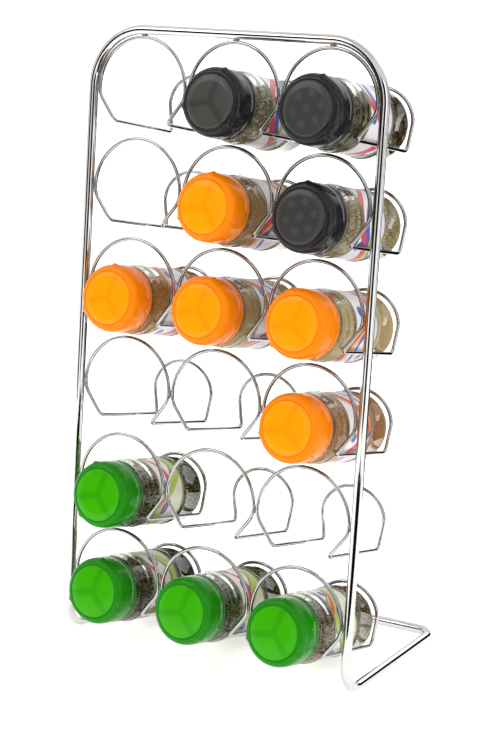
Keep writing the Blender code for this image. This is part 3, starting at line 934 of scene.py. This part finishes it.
def hole_plate():
    """Return a sifter plate with a ring of round holes and one in the middle."""
    shape = bmesh.new()
    outer = SIFTER_RADIUS
    hole = SIFTER_HOLE_RADIUS
    holes = [Vector((0.0, 0.0))]
    for step in range(SIFTER_HOLES):
        angle = hole_angle(step)
        holes.append(Vector((math.cos(angle), math.sin(angle))) * SIFTER_HOLE_RING)
    spacing = HOLE_PLATE_GRID
    count = int(outer / spacing) + 1
    grid = {}
    for i in range(-count, count + 1):
        for j in range(-count, count + 1):
            point = Vector((i, j)) * spacing
            if point.length > outer + spacing:
                continue
            if point.length > outer - 0.6 * spacing:
                point = point.normalized() * outer
            for centre in holes:
                away = point - centre
                if abs(away.length - hole) < 0.55 * spacing:
                    point = centre + away.normalized() * hole
            grid[i, j] = point
    inside = {}
    for (i, j) in list(grid):
        keys = [(i, j), (i + 1, j), (i + 1, j + 1), (i, j + 1)]
        if not all(key in grid for key in keys):
            continue
        centre_point = sum((grid[key] for key in keys), Vector((0.0, 0.0))) / 4.0
        if centre_point.length > outer:
            continue
        if any((centre_point - centre).length < hole * 0.98 for centre in holes):
            continue
        inside[i, j] = keys
    made = {}
    for keys in inside.values():
        for key in keys:
            if key not in made:
                made[key] = shape.verts.new((*grid[key], 0.0))
        shape.faces.new([made[key] for key in keys])
    bmesh.ops.remove_doubles(shape, verts=shape.verts, dist=PLATE_SEAM)
    bmesh.ops.dissolve_degenerate(shape, edges=shape.edges, dist=PLATE_SEAM)
    return shape


def build_sifter(tag, place, kind, material, turn):
    """Build the sifter plate that closes the jar's mouth under the cap."""
    shape = spoke_plate() if kind == "spokes" else hole_plate()
    made = bmesh.ops.extrude_face_region(shape, geom=shape.faces[:])
    raised = [item for item in made["geom"] if isinstance(item, bmesh.types.BMVert)]
    bmesh.ops.translate(shape, verts=raised, vec=(0.0, 0.0, SIFTER_THICKNESS))
    piece = new_piece(f"sifter_{tag}", shape, material, sharp=math.radians(50.0))
    lift = Matrix.Translation((0.0, 0.0, SIFTER_REAR)) @ Matrix.Rotation(turn, 4, "Z")
    settle(piece, place @ lift, f"jar_{tag}", None)


def build_jars():
    """Build every jar with its label, fill, sifter and cap."""
    draw = random.Random(7)
    glass = glass_material()
    # Per cap colour: the side tone, darker as painted shade; the front disc tone, lighter as painted light;
    # transmission; and how dark the sifter's painted shadow makes the disc
    tints = {
        "orange": ((0.98, 0.25, 0.0), (1.0, 0.35, 0.0), 0.20, 0.88),
        "green": ((0.012, 0.25, 0.002), (0.045, 0.44, 0.0), 0.22, 0.82),
        "grey": ((0.020, 0.020, 0.022), (0.085, 0.082, 0.076), 0.40, 0.74),
    }
    caps = {}
    for colour, kind, *_ in JARS.values():
        side, disc, transmission, depth = tints[colour]
        if (colour, kind) not in caps:
            name = f"cap_{colour}_{kind}_plastic"
            caps[colour, kind] = cap_material(name, side, disc, transmission, kind, depth)
    plates = {
        "orange": sifter_material("sifter_orange_plastic", (0.95, 0.42, 0.05)),
        "green": sifter_material("sifter_green_plastic", (0.20, 0.62, 0.06)),
        "grey": sifter_material("sifter_pale_plastic", (0.62, 0.60, 0.56)),
    }
    labels = {colour: label_material(f"label_print_{colour}", art) for colour, art in ART.items()}
    for (row, column), (colour, kind, look, tones) in JARS.items():
        tag = f"r{row}c{column}"
        place = jar_place(tag)
        seed = row * 3 + column
        spice = spice_material(f"spice_{tag}", tones, look["scale"], look["stretch"], look["depth"],
                               look["grain_shade"])
        build_glass(tag, place, glass)
        build_fill(tag, place, look, spice, seed)
        build_label(tag, place, labels[colour], seed)
        build_sifter(tag, place, kind, plates[colour], draw.uniform(-0.3, 0.3))
        build_cap(tag, place, caps[colour, kind], draw.uniform(1.2, 2.0))


# ---------------------------------------------------------------- the studio


def build_floor():
    """Lay a large plain pale floor."""
    shape = bmesh.new()
    bmesh.ops.create_grid(shape, x_segments=8, y_segments=8, size=14.0)
    paint = Paint("floor_paper").set(Roughness=0.9, Specular_IOR_Level=0.1)
    paint.set(Emission_Color=(1.0, 1.0, 1.0, 1.0), Emission_Strength=FLOOR_GLOW)
    tones = [(0.0, (0.95, 0.95, 0.95)), (1.0, (0.96, 0.96, 0.96))]
    paint.feed("Base Color", paint.ramp(paint.noise(3.0), tones))
    floor = new_piece("studio_floor", shape, paint.material)


def area_light(name, position, size, power):
    """Add a soft white light aimed at the rack."""
    data = bpy.data.lights.new(name, "AREA")
    data.shape = "RECTANGLE"
    data.size, data.size_y = size
    data.energy = power
    light = bpy.data.objects.new(name, data)
    light.location = position
    aim = Vector(STUDIO_CENTRE) - Vector(position)
    light.rotation_euler = aim.to_track_quat("-Z", "Y").to_euler()
    bpy.context.scene.collection.objects.link(light)


def dark_card(name, position, target, size, through_glass):
    """Stand a black card out of the camera's sight, for the dark lines in chrome and glass."""
    shape = bmesh.new()
    bmesh.ops.create_grid(shape, x_segments=1, y_segments=1, size=0.5)
    paint = Paint(name).set(Roughness=1.0, Specular_IOR_Level=0.0)
    paint.shader.inputs["Base Color"].default_value = (0.004, 0.004, 0.004, 1.0)
    card = new_piece(name, shape, paint.material)
    aim = Vector(target) - Vector(position)
    turn = aim.to_track_quat("Z", "Y").to_matrix().to_4x4()
    card.matrix_world = Matrix.Translation(position) @ turn @ Matrix.Diagonal((*size, 1.0, 1.0))
    card.visible_camera = False
    card.visible_shadow = False
    card.visible_diffuse = False
    card.visible_transmission = through_glass


def build_studio():
    """Set the world, lights, cards and camera."""
    scene = bpy.context.scene
    world = bpy.data.worlds.new("studio")
    scene.world = world
    world.use_nodes = True
    background = world.node_tree.nodes["Background"]
    background.inputs["Color"].default_value = (1.0, 1.0, 1.0, 1.0)
    background.inputs["Strength"].default_value = WORLD_STRENGTH
    for name, (position, size, power) in LIGHTS.items():
        area_light(name, position, size, power)
    for name, (position, target, size, through_glass) in DARK_CARDS.items():
        dark_card(name, position, target, size, through_glass)
    scene.view_settings.view_transform = "Standard"
    data = bpy.data.cameras.new("camera")
    data.lens = CAMERA_LENS
    data.sensor_width = CAMERA_SENSOR
    camera = bpy.data.objects.new("camera", data)
    scene.collection.objects.link(camera)
    target = base_corner() + CAMERA_TARGET_SHIFT
    back = Vector((
        math.sin(CAMERA_AZIMUTH) * math.cos(CAMERA_ELEVATION),
        -math.cos(CAMERA_AZIMUTH) * math.cos(CAMERA_ELEVATION),
        math.sin(CAMERA_ELEVATION),
    ))
    camera.location = target + back * CAMERA_DISTANCE
    camera.rotation_euler = (-back).to_track_quat("-Z", "Y").to_euler()
    scene.camera = camera


def main():
    """Build the rack, the jars and the studio."""
    build_frame(chrome_material("chrome_rod_plate", 0.03, 0.54))
    wire = chrome_material("chrome_wire_plate", 0.04, 0.42)
    for row in range(1, ROWS + 1):
        for column in range(1, COLUMNS + 1):
            build_holder(row, column, wire)
    build_welds(weld_material())
    build_jars()
    build_floor()
    build_studio()


main()
